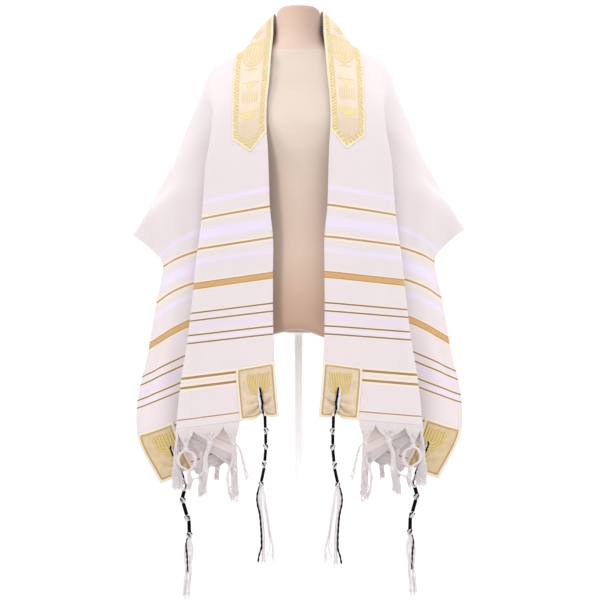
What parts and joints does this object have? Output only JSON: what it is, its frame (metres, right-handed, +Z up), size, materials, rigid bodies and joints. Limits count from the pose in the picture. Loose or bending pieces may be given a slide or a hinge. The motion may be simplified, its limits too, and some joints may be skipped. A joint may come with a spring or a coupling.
{
  "type": "tallit prayer shawl on a limbless dress form",
  "caption": "Striped prayer shawl with collar band, corner patches, fringe and knotted corner tassels, draped over a limbless dress form on a pole stand.",
  "frame": {"origin": "on the floor under the middle of the stand, which is the bottom centre of the bounding box", "axes": "+Z up; -Y is the front, the side with the opening between the two front panels; +X is the wearer's left"},
  "size_m": [0.6776, 0.3, 1.262],
  "materials": {
    "woven_cloth": "plain weave, soft",
    "gold_brocade": "satin with metallic thread",
    "white_thread": "spun thread, matte",
    "form_jersey": "stretched jersey, matte",
    "white_enamel": "semi-gloss"
  },
  "bodies": {
    "root": {"shawl": "woven_cloth", "collar_band": "gold_brocade", "form_torso": "form_jersey", "stand_pole": "white_enamel", "stand_base": "white_enamel", "patch_front_r": "gold_brocade", "patch_outer_r": "gold_brocade", "fringe_r": "white_thread", "tassel_front_r": "white_thread", "tassel_outer_r": "white_thread", "patch_front_l": "gold_brocade", "patch_outer_l": "gold_brocade", "fringe_l": "white_thread", "tassel_front_l": "white_thread", "tassel_outer_l": "white_thread"}
  },
  "joints": []
}
